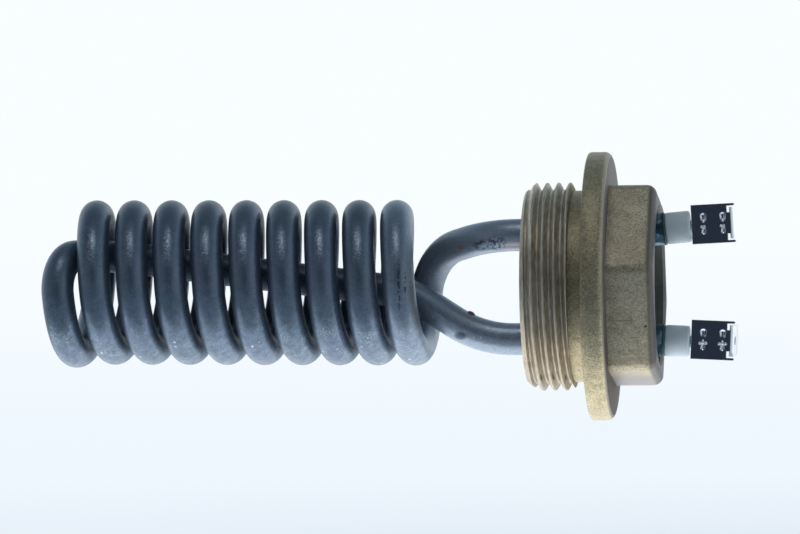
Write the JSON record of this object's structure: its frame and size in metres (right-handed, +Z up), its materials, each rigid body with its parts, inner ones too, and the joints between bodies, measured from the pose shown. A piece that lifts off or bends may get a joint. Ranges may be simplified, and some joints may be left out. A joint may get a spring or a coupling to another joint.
{
  "type": "screw-in water heater element",
  "caption": "Immersion heater with a coiled, sheathed tube and a straight return leg through the coil, brazed into a threaded brass hexagon plug with tab terminals.",
  "frame": {"origin": "centre of the flange's sealing face, on the thread's axis", "axes": "+X along the thread's axis, out of the tank towards the terminals, with the coil towards -X; +Z up, so that the tube's two legs lie one above the other; the picture looks along +Y"},
  "size_m": [0.1394, 0.054, 0.054],
  "materials": {
    "plug_brass": "blasted casting with a turned thread, tarnished olive",
    "sheath_metal": "annealed dark blue-grey satin",
    "magnesia": "packed powder",
    "winding_alloy": "drawn wire",
    "pin_steel": "drawn rod",
    "end_seal": "cured sealing compound, dark green",
    "bead_ceramic": "unglazed, fine grained",
    "tab_plated": "bright plated sheet",
    "braze_metal": "brazing fillet, dull"
  },
  "bodies": {
    "root": {"plug_body": "plug_brass", "sheath_tube": "sheath_metal", "magnesia_fill": "magnesia", "resistance_winding": "winding_alloy", "cold_pin_upper": "pin_steel", "cold_pin_lower": "pin_steel", "end_seal_upper": "end_seal", "end_seal_lower": "end_seal", "insulating_bead_upper": "bead_ceramic", "insulating_bead_lower": "bead_ceramic", "tab_terminal_upper": "tab_plated", "tab_terminal_lower": "tab_plated", "braze_wet_upper": "braze_metal", "braze_wet_lower": "braze_metal", "braze_dry_upper": "braze_metal", "braze_dry_lower": "braze_metal"}
  },
  "joints": []
}
